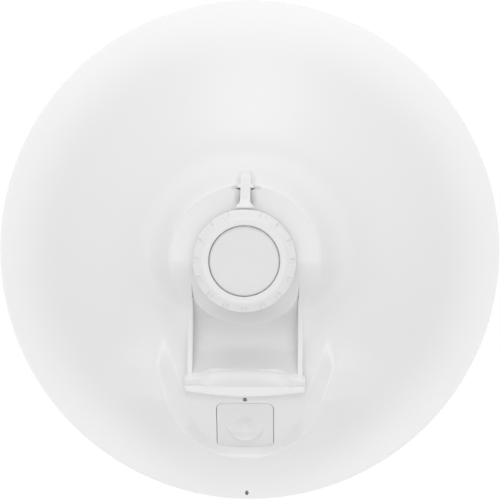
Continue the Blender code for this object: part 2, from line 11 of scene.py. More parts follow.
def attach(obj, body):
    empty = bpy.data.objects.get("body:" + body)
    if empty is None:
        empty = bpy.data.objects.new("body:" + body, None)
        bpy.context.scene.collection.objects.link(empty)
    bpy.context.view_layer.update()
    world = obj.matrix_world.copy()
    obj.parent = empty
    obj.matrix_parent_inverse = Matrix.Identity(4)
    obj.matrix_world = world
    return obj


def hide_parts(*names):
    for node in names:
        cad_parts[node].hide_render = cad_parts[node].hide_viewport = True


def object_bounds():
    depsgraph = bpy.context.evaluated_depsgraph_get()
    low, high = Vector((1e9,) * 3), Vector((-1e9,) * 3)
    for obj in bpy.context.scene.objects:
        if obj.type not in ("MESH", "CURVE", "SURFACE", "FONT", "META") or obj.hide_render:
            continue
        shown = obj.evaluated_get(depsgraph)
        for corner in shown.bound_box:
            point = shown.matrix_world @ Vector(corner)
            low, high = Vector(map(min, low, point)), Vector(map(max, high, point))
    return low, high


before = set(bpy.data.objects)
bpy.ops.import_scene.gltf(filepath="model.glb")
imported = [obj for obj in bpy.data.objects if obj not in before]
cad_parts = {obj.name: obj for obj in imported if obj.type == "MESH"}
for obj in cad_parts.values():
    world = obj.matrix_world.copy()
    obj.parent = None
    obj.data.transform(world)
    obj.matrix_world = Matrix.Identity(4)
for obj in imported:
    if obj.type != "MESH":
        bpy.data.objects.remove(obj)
cad_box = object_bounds()

# The dish's own frame: X to the right as seen from behind, up, and depth behind the rim's plane, towards the
# mast. The flat of the hub disc is where the mast's bracket rests, and it lies on the world's origin.
HUB_FACE = 0.0802


def from_behind(x, up, depth):
    """A place in the dish's frame, as a place in the world."""
    return Vector((x, HUB_FACE - depth, up))


# The camera stands a little over a metre behind the dish, slightly to the right of its axis and above it,
# and is turned very slightly. Its long lens holds the whole rim.
CAMERA_DISTANCE = 1.04
CAMERA_SIDE = math.radians(1.56)
CAMERA_RISE = math.radians(3.26)
CAMERA_ROLL = math.radians(0.45)
LENS = 143.8
SENSOR = 36.0
OFF_CENTRE = (1.15 / 500, 1.6 / 500)

rim_centre = from_behind(0, 0, 0)
towards_camera = from_behind(
    math.sin(CAMERA_SIDE) * math.cos(CAMERA_RISE),
    math.sin(CAMERA_RISE),
    math.cos(CAMERA_SIDE) * math.cos(CAMERA_RISE),
) - rim_centre
camera = bpy.data.objects.new("camera", bpy.data.cameras.new("camera"))
bpy.context.scene.collection.objects.link(camera)
camera.location = rim_centre + CAMERA_DISTANCE * towards_camera
facing = towards_camera.to_track_quat("Z", "Y") @ Matrix.Rotation(CAMERA_ROLL, 3, "Z").to_quaternion()
camera.rotation_euler = facing.to_euler()
camera.data.lens = LENS
camera.data.sensor_width = SENSOR
camera.data.shift_x, camera.data.shift_y = OFF_CENTRE
camera.data.clip_start = 0.02
bpy.context.scene.camera = camera

# One large softbox hangs high above the camera, in a white tent that is brightest behind the camera, round
# the dish's sides and overhead. The tent looks plain white to the camera.
LIGHT_DISTANCE = 1.1
LIGHT_SIZE = 0.55
LIGHT_POWER = 1.9
LIGHT_WAY = (0, 0.707, 0.707)
TENT_LOBE_WIDTH = 0.25
TENT_BASE = 0.25
TENT_BEHIND = 1.37
TENT_SIDES = 1.30
TENT_FRONT = 1.10
TENT_ABOVE = 1.35
TENT_BELOW = 0.75

softbox = bpy.data.objects.new("softbox", bpy.data.lights.new("softbox", "AREA"))
bpy.context.scene.collection.objects.link(softbox)
light_way = from_behind(*LIGHT_WAY) - rim_centre
softbox.location = rim_centre + LIGHT_DISTANCE * light_way
softbox.rotation_euler = light_way.to_track_quat("Z", "Y").to_euler()
softbox.data.shape = "SQUARE"
softbox.data.size = LIGHT_SIZE
softbox.data.energy = LIGHT_POWER


class Value:
    """A number that varies over a surface, which plain expressions can work with."""

    def __init__(self, tree, socket):
        self.tree = tree
        self.socket = socket

    def worked(self, operation, *terms):
        """One step of arithmetic on values and plain numbers."""
        joined = self.tree.nodes.new("ShaderNodeMath")
        joined.operation = operation
        for place, term in enumerate(terms):
            if isinstance(term, Value):
                self.tree.links.new(term.socket, joined.inputs[place])
            else:
                joined.inputs[place].default_value = term
        return Value(self.tree, joined.outputs[0])

    def __add__(self, other):
        return self.worked("ADD", self, other)

    def __radd__(self, other):
        return self.worked("ADD", other, self)

    def __sub__(self, other):
        return self.worked("SUBTRACT", self, other)

    def __rsub__(self, other):
        return self.worked("SUBTRACT", other, self)

    def __mul__(self, other):
        return self.worked("MULTIPLY", self, other)

    def __rmul__(self, other):
        return self.worked("MULTIPLY", other, self)

    def __truediv__(self, other):
        return self.worked("DIVIDE", self, other)

    def __rtruediv__(self, other):
        return self.worked("DIVIDE", other, self)

    def __pow__(self, other):
        return self.worked("POWER", self, other)

    def at_least(self, other):
        return self.worked("MAXIMUM", self, other)

    def at_most(self, other):
        return self.worked("MINIMUM", self, other)


class Nodes:
    """The nodes of one material, or of the studio's world."""

    def __init__(self, tree):
        self.tree = tree

    def made(self, kind, settings=None, inputs=None):
        """A node of a kind, with its settings first and then its sockets' values or links."""
        node = self.tree.nodes.new(kind)
        for setting, value in (settings or {}).items():
            setattr(node, setting, value)
        for socket, value in (inputs or {}).items():
            if isinstance(value, Value):
                self.tree.links.new(value.socket, node.inputs[socket])
            else:
                node.inputs[socket].default_value = value
        return node

    def out(self, node, output=0):
        """What a node gives at one of its sockets."""
        return Value(self.tree, node.outputs[output])

    def feed(self, value, node, socket):
        """Links a value to one of a node's sockets."""
        self.tree.links.new(value.socket, node.inputs[socket])


studio = bpy.data.worlds.new("studio")
studio.use_nodes = True
tent = Nodes(studio.node_tree)
to_sky = tent.out(tent.made("ShaderNodeTexCoord"), "Generated")
split = tent.made("ShaderNodeSeparateXYZ", inputs={"Vector": to_sky})
towards_back = tent.out(split, "Y") * -1
sky_up = tent.out(split, "Z")


def lobe(place):
    """A soft bright zone, whose place is 1 straight behind the dish, 0 at its sides and -1 in front."""
    off = (towards_back - place) / TENT_LOBE_WIDTH
    fall = 1 + off * off
    return 1 / (fall * fall)


brightness = TENT_BASE + TENT_BEHIND * lobe(1.0) + TENT_SIDES * lobe(-0.1) + TENT_FRONT * lobe(-0.5)
brightness = brightness + TENT_ABOVE * sky_up.at_least(0.0) * lobe(0.7)
brightness = brightness + TENT_BELOW * (sky_up * -1).at_least(0.0) * lobe(0.2)
seen = tent.out(tent.made("ShaderNodeLightPath"), "Is Camera Ray")
background = studio.node_tree.nodes["Background"]
background.inputs["Color"].default_value = (1, 1, 1, 1)
tent.feed(brightness * (1 - seen) + seen, background, "Strength")
bpy.context.scene.world = studio
bpy.context.scene.view_settings.view_transform = "Standard"

# The studio floor: a plain white sheet a little below the rim.
SHEET_REACH = 0.55
SHEET_DROP = 0.30
SHEET_WHITE = (0.93, 0.93, 0.93)
SHEET_MOTTLE = 0.01

floor_up = cad_box[0][2] - SHEET_DROP
floor_mesh = bpy.data.meshes.new("studio_floor")
corners = [(x * SHEET_REACH, y * SHEET_REACH, floor_up) for x, y in ((-1, -1), (1, -1), (1, 1), (-1, 1))]
floor_mesh.from_pydata(corners, [], [(0, 1, 2, 3)])
studio_floor = bpy.data.objects.new("studio_floor", floor_mesh)
bpy.context.scene.collection.objects.link(studio_floor)
sheet = bpy.data.materials.new("floor_sheet")
sheet.use_nodes = True
sheet_nodes = Nodes(sheet.node_tree)
sheet_shader = sheet.node_tree.nodes["Principled BSDF"]
sheet_place = sheet_nodes.out(sheet_nodes.made("ShaderNodeTexCoord"), "Object")
sheet_noise = sheet_nodes.made("ShaderNodeTexNoise", inputs={"Vector": sheet_place, "Scale": 9.0})
sheet_cloud = sheet_nodes.out(sheet_noise)
sheet_tint = sheet_nodes.made("ShaderNodeVectorMath", {"operation": "SCALE"}, {0: SHEET_WHITE})
sheet_nodes.feed(1 + (sheet_cloud - 0.5) * SHEET_MOTTLE, sheet_tint, "Scale")
sheet_nodes.feed(sheet_nodes.out(sheet_tint), sheet_shader, "Base Color")
sheet_shader.inputs["Roughness"].default_value = 0.8
floor_mesh.materials.append(sheet)


# The rear shell: one large moulding of white satin plastic, from the rim up to the round head under the lock
# ring, with the port pocket sunk in it. It is laid out as depths over circles round the axis, with more
# points in the sectors of the pocket and the tongue, and closed by the hollow that the reflector lies in.
RIM_RADIUS = 0.130
EDGE_RADIUS = 0.1298
EDGE_FOOT = -0.0004
SEAT_RADIUS = 0.1280
SHELL_FOCUS = 0.104
REFLECTOR_FOCUS = 0.109
REFLECTOR_FRONT = -0.0045
REFLECTOR_THICKNESS = 0.0020
REFLECTOR_SEAT = 0.1283
SEAT_GAP = 0.0003

HEAD_DEPTH = 0.070
HEAD_CORE = 0.0360
HEAD_EDGE = 0.0020
FLANK_REACH = 0.008
FLANK_BLEND = 0.006
ARM_INNER = 0.0259
ARM_OUTER = 0.0286
ARM_VALLEY = -0.027
ARM_VALLEY_DEPTH = 0.052
ARM_END_DEPTH = 0.056
ARM_RISE_LENGTH = 0.034
LIP_CREST = -0.0556
LIP_TOP = -0.0639
LIP_UNDERSIDE = -0.0688
LIP_HALF = 0.0301
LIP_TOP_BOW = 0.0036
LIP_SIDE_RISE = 0.0031
LIP_SIDE_START = 0.0150
LIP_SIDE_LENGTH = 0.0100

POCKET_FLOOR = 0.050
FLOOR_BEND = -0.071
FLOOR_SLOPE = 0.613
FLOOR_FALL = 0.006
FLOOR_FALL_START = -0.066
FLOOR_FALL_LENGTH = 0.040
FLOOR_SIDE_SLOPE = 0.25
POCKET_TOP = -0.056
POCKET_BOTTOM = -0.0971
POCKET_HALF = 0.0302
POCKET_TAPER = 0.345
POCKET_CORNER = 0.014
POCKET_WALL = 0.0058
POCKET_FADE = 0.024
POCKET_BAND_SIDE = 0.0074
POCKET_BAND_BOTTOM = 0.0044
POCKET_BAND_LENGTH = 0.020
POCKET_BROW = 0.0015
CHIN_REACH = 0.016
CHIN_REACH_UP = 0.022
CHIN_FADE = 0.024

CHANNEL_START = 0.0262
CHANNEL_HALF = 0.0060
CHANNEL_DEPTH = 0.0021
SPADE_LOW = 0.0343
SPADE_DEPTH = 0.0034
CHANNEL_STEEPNESS = 1.3
SPADE_STEEPNESS = 1.5
DENT_START_SOFT = 0.0020
DENT_END_SOFT = 0.0030
SPADE_HALVES = [(SPADE_LOW, 0.0086), (0.0375, 0.0074), (0.0408, 0.0050), (0.0425, 0.0036), (0.0440, 0.0026)]

SCOOP_HALF = 0.0264
SCOOP_DEPTH = 0.0405
SCOOP_BEND = -0.036
SCOOP_RISE = 0.0120
SCOOP_SIDE_RISE = 0.0010
SCOOP_TOP = -0.006
SCOOP_MIDDLE = -0.034
SCOOP_POINTS = 61
CREST_PROUD = 0.0002
RAMP_FILL = 0.0004
RAMP_SIDE = 0.0008
RAMP_LOW = 0.0010
BOSS_RADIUS = 0.0258
BOSS_REACH = 0.0068
BOSS_EDGE = 0.0012
BOSS_PROUD = 0.0006


def eased(t):
    """0 to 1, with soft ends, as t goes from 0 to 1."""
    t = np.clip(t, 0.0, 1.0)
    return t * t * (3 - 2 * t)


def soft_minimum(a, b, width):
    """The smaller of two, rounded off where they come within the width of each other."""
    near = np.clip(width - np.abs(a - b), 0.0, None) / width
    return np.minimum(a, b) - near * near * width / 4


def floor_depth(x, up):
    """The pocket's floor: it slopes down below the bend and falls away slightly above it and at its sides."""
    low = FLOOR_SLOPE * np.minimum(up - FLOOR_BEND, 0.0)
    fall = FLOOR_FALL * eased((up - FLOOR_FALL_START) / FLOOR_FALL_LENGTH)
    return POCKET_FLOOR + low - fall - FLOOR_SIDE_SLOPE * np.maximum(np.abs(x) - ARM_OUTER, 0.0)


def outside_pocket(x, up):
    """How far a point lies outside the pocket's floor."""
    beside = np.abs(x) - POCKET_HALF - POCKET_TAPER * (up - FLOOR_BEND)
    beside = beside / math.hypot(1, POCKET_TAPER) + POCKET_CORNER
    below = POCKET_BOTTOM - up + POCKET_CORNER
    inside = np.minimum(np.maximum(beside, below), 0.0)
    return inside + np.hypot(np.maximum(beside, 0.0), np.maximum(below, 0.0)) - POCKET_CORNER


def pocket_band(up):
    """How wide the pocket's sloped wall looks at one height: narrow at its foot and wider up its sides."""
    widening = (POCKET_BAND_SIDE - POCKET_BAND_BOTTOM) * eased((up - POCKET_BOTTOM) / POCKET_BAND_LENGTH)
    return POCKET_BAND_BOTTOM + widening


def pocket_depth(x, up):
    """The pocket's floor and its sloped wall."""
    wall = POCKET_WALL * np.maximum(outside_pocket(x, up), 0.0) / pocket_band(up)
    return floor_depth(x, up) + wall


def chin_depth(x, up):
    """The plain bowl of the back, swollen round the pocket."""
    radius = np.hypot(x, up)
    plain = (RIM_RADIUS**2 - radius**2) / (4 * SHELL_FOCUS)
    beside = np.maximum(outside_pocket(x, np.minimum(up, POCKET_TOP)) - pocket_band(up), 0.0) / CHIN_REACH
    away = np.hypot(beside, np.maximum(up - POCKET_TOP, 0.0) / CHIN_REACH_UP)
    brow = floor_depth(x, up) + POCKET_WALL
    share = np.exp(-away**1.5) * eased((SEAT_RADIUS + SEAT_GAP - radius) / CHIN_FADE)
    return plain + np.maximum(brow - plain, 0.0) * share


def face_depth(up):
    """The keyhole's face: level round the ring, dipping beside it, and coming out again down the arm."""
    dip = (HEAD_DEPTH - ARM_VALLEY_DEPTH) * eased(up / ARM_VALLEY)
    rise = (ARM_END_DEPTH - ARM_VALLEY_DEPTH) * eased((ARM_VALLEY - up) / ARM_RISE_LENGTH)
    return HEAD_DEPTH - dip + rise


def rounded_off(distance, edge):
    """A distance that starts gently, which rounds the edge that it is measured from."""
    return np.hypot(np.maximum(distance, 0.0), edge) - edge


def tongue_dent(x, up):
    """The dent under the tongue: a soft channel on the head's face that ends in a straight-edged spade."""
    spade = up > SPADE_LOW
    half = np.where(spade, np.interp(up, *zip(*SPADE_HALVES)), CHANNEL_HALF)
    steepness = np.where(spade, SPADE_STEEPNESS, CHANNEL_STEEPNESS)
    sides = eased(np.maximum(1 - np.abs(x) / half, 0.0) * steepness)
    ends = eased((up - CHANNEL_START) / DENT_START_SOFT) * eased((SPADE_HALVES[-1][0] - up) / DENT_END_SOFT)
    return np.where(spade, SPADE_DEPTH, CHANNEL_DEPTH) * sides * ends


def shell_depth(x, up):
    """The whole back before the cuts: the bowl, the head and arm on it, the pocket, dent and ramp."""
    ground = chin_depth(x, up)
    head = np.hypot(x, up) - HEAD_CORE
    arm_half = ARM_OUTER - HEAD_EDGE
    past_ends = np.maximum(np.maximum(up, LIP_UNDERSIDE - up), 0.0)
    arm = np.hypot(np.maximum(np.abs(x) - arm_half, 0.0), past_ends)
    outside = rounded_off(soft_minimum(head, arm, FLANK_BLEND), HEAD_EDGE)
    full = ground + np.maximum(face_depth(up) - ground, 0.0) * np.exp(-outside / FLANK_REACH)
    sunk = soft_minimum(full, pocket_depth(x, up), POCKET_BROW)
    depth = sunk + (full - sunk) * eased((up - POCKET_TOP) / POCKET_FADE) - tongue_dent(x, up)
    ramp = np.minimum(scoop_depth(x, up) + RAMP_FILL, crest_depth(x))
    under_ramp = (np.abs(x) < SCOOP_HALF + RAMP_SIDE) & (up > lip_crest(x) - RAMP_LOW) & (up < SCOOP_BEND)
    return np.where(under_ramp, np.maximum(depth, ramp), depth)


def scoop_depth(x, up):
    """The scooped face between the arm's walls, which flares out of the hub's boss and ramps to the lip."""
    along = np.maximum((SCOOP_BEND - up) / (SCOOP_BEND - LIP_CREST), 0.0)
    web = SCOOP_DEPTH + SCOOP_RISE * along**2 + SCOOP_SIDE_RISE * (x / ARM_INNER) ** 2
    past_boss = rounded_off(np.hypot(x, up) - BOSS_RADIUS, BOSS_EDGE)
    return web + (HEAD_DEPTH + BOSS_PROUD - web) * np.exp(-past_boss / BOSS_REACH)


def lip_crest(x):
    """How high the bowed crest is, where the ramp meets the rest lip."""
    return LIP_CREST - LIP_TOP_BOW * (x / LIP_HALF) ** 2


def crest_depth(x):
    """How far out the crest is, which comes out further towards its ends."""
    side_rise = LIP_SIDE_RISE * eased((np.abs(x) - LIP_SIDE_START) / LIP_SIDE_LENGTH)
    return SCOOP_DEPTH + SCOOP_RISE + CREST_PROUD + side_rise


def mesh_piece(name, points, faces, smooth_angle=None):
    """An object in the world from places in the dish's frame, shaded smooth up to an angle."""
    mesh = bpy.data.meshes.new(name)
    world = np.asarray(points, dtype=float)
    world = np.column_stack((world[:, 0], HUB_FACE - world[:, 2], world[:, 1]))
    mesh.from_pydata(world.tolist(), [], faces)
    shape = bmesh.new()
    shape.from_mesh(mesh)
    bmesh.ops.recalc_face_normals(shape, faces=shape.faces)
    shape.to_mesh(mesh)
    shape.free()
    mesh.shade_smooth()
    if smooth_angle:
        mesh.set_sharp_from_angle(angle=math.radians(smooth_angle))
    piece = bpy.data.objects.new(name, mesh)
    bpy.context.scene.collection.objects.link(piece)
    return piece


def skinned(rows, capped=True):
    """Points and faces of a body whose skin runs through rows of points, capped at both ends."""
    count = len(rows[0])
    points = np.concatenate(rows)
    faces = []
    for start in range(0, (len(rows) - 1) * count, count):
        for i in range(count):
            j = (i + 1) % count
            faces.append((start + i, start + j, start + count + j, start + count + i))
    if capped:
        faces.append(tuple(range(count))[::-1])
        faces.append(tuple(range((len(rows) - 1) * count, len(rows) * count)))
    return points, faces


def cut_away(piece, cutters):
    """Cuts closed bodies that don't touch one another out of a piece, in one step."""
    joined = bmesh.new()
    for cutter in cutters:
        joined.from_mesh(cutter.data)
        bpy.data.objects.remove(cutter)
    mesh = bpy.data.meshes.new("cut")
    joined.to_mesh(mesh)
    joined.free()
    tool = bpy.data.objects.new("cut", mesh)
    bpy.context.scene.collection.objects.link(tool)
    step = piece.modifiers.new("cut", "BOOLEAN")
    step.operation = "DIFFERENCE"
    step.object = tool
    bpy.context.view_layer.update()
    graph = bpy.context.evaluated_depsgraph_get()
    cut = bpy.data.meshes.new_from_object(piece.evaluated_get(graph))
    piece.modifiers.clear()
    piece.data = cut
    bpy.data.objects.remove(tool)


def ring_of(angles, radius, depth_at):
    """A circle of points round the axis, at the depths of a surface."""
    x = radius * np.cos(angles)
    up = radius * np.sin(angles)
    return np.column_stack((x, up, depth_at(x, up)))


def level(depth):
    """A surface of one depth."""
    return lambda x, up: np.full(x.shape, depth)


def seat_depth(x, up):
    """The hollow side of the shell, just behind the reflector."""
    radius = np.hypot(x, up)
    front = REFLECTOR_FRONT + (REFLECTOR_SEAT**2 - radius**2) / (4 * REFLECTOR_FOCUS)
    return front + REFLECTOR_THICKNESS + SEAT_GAP


# Half of the sectors where the circles have more points: the pocket's below, and the tongue's above.
LOW_SECTOR = math.radians(52)
HIGH_SECTOR = math.radians(16)


def make_shell_body():
    """The shell from its middle out over the rim and back along the hollow side."""
    low = -math.pi / 2
    high = math.pi / 2
    angles = np.concatenate((
        np.linspace(low - LOW_SECTOR, low + LOW_SECTOR, 250, endpoint=False),
        np.linspace(low + LOW_SECTOR, high - HIGH_SECTOR, 70, endpoint=False),
        np.linspace(high - HIGH_SECTOR, high + HIGH_SECTOR, 130, endpoint=False),
        np.linspace(high + HIGH_SECTOR, low + 2 * math.pi - LOW_SECTOR, 70, endpoint=False),
    ))
    radii = np.concatenate((
        [0.004, 0.012, 0.020, 0.0255],
        np.arange(0.0262, 0.0335, 0.0009),
        np.arange(0.0337, 0.0450, 0.0004),
        np.arange(0.0450, 0.0600, 0.0011),
        np.arange(0.0600, 0.1060, 0.00085),
        np.linspace(0.1060, EDGE_RADIUS - 0.0003, 15),
    ))
    rows = [ring_of(angles, radius, shell_depth) for radius in radii]
    rows.append(ring_of(angles, EDGE_RADIUS, level(0.0)))
    rows.append(ring_of(angles, EDGE_RADIUS, level(EDGE_FOOT)))
    rows.append(ring_of(angles, SEAT_RADIUS, level(EDGE_FOOT)))
    rows += [ring_of(angles, radius, seat_depth) for radius in np.linspace(SEAT_RADIUS, 0.006, 16)]
    points, faces = skinned(rows)
    return mesh_piece("rear_shell", points, faces)


def upright_bar(name, outline, near, far):
    """A straight bar along the axis, with an outline seen from behind."""
    rows = [[(x, up, depth) for x, up in outline] for depth in (near, far)]
    points, faces = skinned([np.array(row) for row in rows])
    return mesh_piece(name, points, faces)


def make_scoop_cutter():
    """Room over the scooped face, from the hub's middle past the lip's crest and up clear of the shell."""
    across = np.linspace(-SCOOP_HALF, SCOOP_HALF, SCOOP_POINTS)
    upper = np.arange(SCOOP_TOP, SCOOP_MIDDLE, -0.0005)
    lower = np.linspace(SCOOP_MIDDLE, LIP_CREST - 0.012, 26)
    clear = 0.095
    rows = []
    for up in np.concatenate((upper, lower)):
        height = np.full(SCOOP_POINTS, up)
        floor = np.column_stack((across, height, scoop_depth(across, height)))
        top = [(SCOOP_HALF, up, clear), (-SCOOP_HALF, up, clear)]
        rows.append(np.vstack((floor, top)))
    points, faces = skinned(rows)
    return mesh_piece("scoop", points, faces)


def arc(centre, radius, start, end, count):
    """Points on an arc, with its angles in degrees."""
    angles = np.radians(np.linspace(start, end, count + 1))
    return [(centre[0] + radius * math.cos(a), centre[1] + radius * math.sin(a)) for a in angles]


# The port cover's seat and the light's hole are cut in the pocket's sloped floor, in the frame of that
# floor. The room for the port bay is cut out behind them.
COVER_HALF = 0.0142
COVER_LENGTH = 0.0292
COVER_THICKNESS = 0.0022
COVER_TOP_CORNER = 0.0035
COVER_CENTRE = -0.0855
COVER_GAP = 0.00025
COVER_LOW_GAP = 0.00002
LIGHT_CENTRE = -0.0712
LIGHT_RADIUS = 0.0008
LIGHT_HOLE_DEPTH = 0.0016
SLOPE_LENGTH = math.hypot(1, FLOOR_SLOPE)
COVER_DEPTH = POCKET_FLOOR + FLOOR_SLOPE * (COVER_CENTRE - FLOOR_BEND)


def on_slope(across, along, out):
    """A place on the sloped floor, from the cover's centre, as a place in the dish's frame."""
    up = COVER_CENTRE + (along - FLOOR_SLOPE * out) / SLOPE_LENGTH
    depth = COVER_DEPTH + (FLOOR_SLOPE * along + out) / SLOPE_LENGTH
    return across, up, depth


def crease_along(across):
    """Where the pocket's floor ends below, at a place across: halved steps close in on the wall's foot."""
    low, high = POCKET_BOTTOM - 0.001, COVER_CENTRE
    for _ in range(24):
        middle = (low + high) / 2
        if outside_pocket(np.float64(across), np.float64(middle)) > 0:
            low = middle
        else:
            high = middle
    return (high - COVER_CENTRE) * SLOPE_LENGTH


def cover_outline(margin, low_margin):
    """The cover's outline: round upper corners, and a lower edge that follows the pocket's crease."""
    half = COVER_HALF + margin
    top = COVER_LENGTH / 2 + margin
    corner = COVER_TOP_CORNER + margin
    points = arc((half - corner, top - corner), corner, 0, 90, 8)
    points += arc((-half + corner, top - corner), corner, 90, 180, 8)
    points += [(x, crease_along(x) - low_margin) for x in np.linspace(-half, half, 25)]
    return points


def slope_bar(name, outline, near, far):
    """A straight bar square to the sloped floor, with an outline drawn on that floor."""
    rows = [np.array([on_slope(x, y, out) for x, y in outline]) for out in (near, far)]
    points, faces = skinned(rows)
    return mesh_piece(name, points, faces)


BAY_HALF = 0.0138
BAY_TOP = -0.0572
BAY_LOW = -0.0958
BAY_NEAR = 0.0185
BAY_FAR = 0.0434


def make_bay_cutter():
    """Room for the port bay, which lies behind the cover."""
    under = COVER_DEPTH - COVER_THICKNESS * SLOPE_LENGTH
    profile = [(BAY_TOP, 0.0280), (BAY_TOP, BAY_FAR), (-0.0735, BAY_FAR)]
    for up in (-0.0762, BAY_LOW):
        profile.append((up, under + FLOOR_SLOPE * (up - COVER_CENTRE) + 0.0004))
    profile += [(BAY_LOW, BAY_NEAR + 0.003), (-0.0920, BAY_NEAR)]
    rows = [np.array([(x, up, depth) for up, depth in profile]) for x in (-BAY_HALF, BAY_HALF)]
    points, faces = skinned(rows)
    return mesh_piece("bay_room", points, faces)


# Painted light: the shell's colour is made lighter towards its rim, standing in for the brighter light that
# falls on the rim.
SHELL_WHITE = (0.72, 0.72, 0.725)
RIM_PAINTED_LIGHT = 0.13
RIM_PAINTED_LIGHT_START = 0.095
RIM_PAINTED_LIGHT_END = 0.130

# The plastic's flow mottling, how much its sheen varies with the flow and the grain, its grain and its coat.
FLOW_SCALE = 14.0
FLOW_SHEEN = 0.08
GRAIN_SHEEN = 0.05
GRAIN_HEIGHT = 0.0002
COAT_ROUGHNESS = 0.3


def moulded_plastic(name, colour, roughness, coat=0.0, grain=0.0009, relief=0.04, mottle=0.012, rim_painted_light=0.0):
    """Moulded plastic: a fine moulded grain, faint flow mottling, a soft sheen that varies a little, and
    painted light towards the rim if asked.
    """
    finish = bpy.data.materials.new(name)
    finish.use_nodes = True
    nodes = Nodes(finish.node_tree)
    shader = finish.node_tree.nodes["Principled BSDF"]
    place = nodes.out(nodes.made("ShaderNodeTexCoord"), "Object")
    grains = nodes.made("ShaderNodeTexNoise", inputs={"Vector": place, "Scale": 1 / grain, "Detail": 2.0})
    flows = nodes.made("ShaderNodeTexNoise", inputs={"Vector": place, "Scale": FLOW_SCALE, "Detail": 3.0})
    fine = nodes.out(grains)
    flow = nodes.out(flows)
    shade = 1 + (flow - 0.5) * mottle * 2 + (fine - 0.5) * mottle
    # Painted light: the colour grows lighter towards the rim, standing in for the brighter light that falls
    # there.
    if rim_painted_light:
        where = nodes.made("ShaderNodeSeparateXYZ", inputs={"Vector": place})
        radius = (nodes.out(where, "X") ** 2 + nodes.out(where, "Z") ** 2) ** 0.5
        painted_light_share = ((radius - RIM_PAINTED_LIGHT_START) / (RIM_PAINTED_LIGHT_END - RIM_PAINTED_LIGHT_START)).at_least(0.0).at_most(1.0)
        shade = shade + painted_light_share * painted_light_share * (3 - painted_light_share * 2) * rim_painted_light
    tint = nodes.made("ShaderNodeVectorMath", {"operation": "SCALE"}, {0: colour})
    nodes.feed(shade, tint, "Scale")
    nodes.feed(nodes.out(tint), shader, "Base Color")
    nodes.feed(roughness + (flow - 0.5) * FLOW_SHEEN + (fine - 0.5) * GRAIN_SHEEN, shader, "Roughness")
    raised = {"Strength": relief, "Distance": GRAIN_HEIGHT, "Height": fine}
    bump = nodes.made("ShaderNodeBump", inputs=raised)
    nodes.feed(nodes.out(bump), shader, "Normal")
    shader.inputs["Coat Weight"].default_value = coat
    shader.inputs["Coat Roughness"].default_value = COAT_ROUGHNESS
    return finish


# A drain goes through the shell at the foot of the rim, and a narrow slot lies just above the tongue's tip.
DRAIN_CENTRE = -0.1262
DRAIN_HALF = 0.0009
DRAIN_STRETCH = 1.6
TIP_SLOT_HALF = 0.0019
TIP_SLOT_LOW = 0.0417
TIP_SLOT_HIGH = 0.0421
TIP_SLOT_FLOOR = 0.0570

shell = make_shell_body()
light_along = (LIGHT_CENTRE - COVER_CENTRE) * SLOPE_LENGTH
light_hole = arc((0, light_along), LIGHT_RADIUS + COVER_GAP, 0, 345, 23)
drain = [(x, DRAIN_CENTRE + DRAIN_STRETCH * y) for x, y in arc((0, 0), DRAIN_HALF, 0, 345, 23)]
tip_slot = [(-TIP_SLOT_HALF, TIP_SLOT_LOW), (TIP_SLOT_HALF, TIP_SLOT_LOW)]
tip_slot += [(TIP_SLOT_HALF, TIP_SLOT_HIGH), (-TIP_SLOT_HALF, TIP_SLOT_HIGH)]
cut_away(shell, [
    make_scoop_cutter(),
    upright_bar("tip_slot", tip_slot, TIP_SLOT_FLOOR, 0.080),
    slope_bar("cover_seat", cover_outline(COVER_GAP, COVER_LOW_GAP), -COVER_THICKNESS - COVER_GAP, 0.0003),
    slope_bar("light_hole", light_hole, -LIGHT_HOLE_DEPTH, 0.004),
    upright_bar("drain", drain, -0.003, 0.020),
])
cut_away(shell, [make_bay_cutter()])
shell.data.shade_smooth()
shell.data.set_sharp_from_angle(angle=math.radians(28))
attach(shell, "root")
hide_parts("rear_housing", "bracket_head", "arm_web", "mounting_hub")
# The shell's plastic carries the painted light towards its rim.
shell_plastic = moulded_plastic("shell_plastic", SHELL_WHITE, 0.38, coat=0.25, rim_painted_light=RIM_PAINTED_LIGHT)
shell.data.materials.append(shell_plastic)


# The arm's two walls: straight ribs of the shell's plastic on both sides of the scoop. They rise out of the
# head's flank and end in the lip, and their upper edges are rounded.
WALL_START = -0.0200
WALL_CLEAR = -0.0280
WALL_END = -0.0600
WALL_FOOT = 0.0395
WALL_SUNK = 0.0003
WALL_PROUD = 0.0001
WALL_EDGE = 0.0007


def wall_section(up):
    """The wall's outline across the arm at one height, as places across and depths."""
    share = eased((WALL_START - up) / (WALL_START - WALL_CLEAR))
    top = face_depth(up) - WALL_SUNK + (WALL_SUNK + WALL_PROUD) * share
    outline = [(ARM_INNER, WALL_FOOT), (ARM_INNER, top - WALL_EDGE - 0.004)]
    outline += arc((ARM_INNER + WALL_EDGE, top - WALL_EDGE), WALL_EDGE, 180, 90, 6)
    outline += arc((ARM_OUTER - WALL_EDGE, top - WALL_EDGE), WALL_EDGE, 90, 0, 6)
    outline += [(ARM_OUTER, top - WALL_EDGE - 0.004), (ARM_OUTER, WALL_FOOT)]
    return outline


for side, name in ((-1, "arm_wall_left"), (1, "arm_wall_right")):
    rows = []
    for up in np.linspace(WALL_START, WALL_END, 80):
        rows.append(np.array([(side * x, up, depth) for x, depth in wall_section(up)]))
    points, faces = skinned(rows)
    wall = mesh_piece(name, points, faces, smooth_angle=40)
    wall.data.materials.append(shell_plastic)
    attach(wall, "root")
    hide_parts(name.replace("wall", "side"))


# The rest lip: a bowed bar of the shell's plastic, moulded across the foot of the arm. It has a broad sloped
# top, a narrow front and softly rounded edges and ends.
LIP_FRONT = 0.0575
LIP_ARC = 0.131
LIP_BACK = 0.0443
LIP_LOW_BOW = 0.0024
LIP_EDGE = 0.0011
LIP_END = 0.0016
LIP_MIDDLE = 0.0283
LIP_END_ROUNDING = 0.9


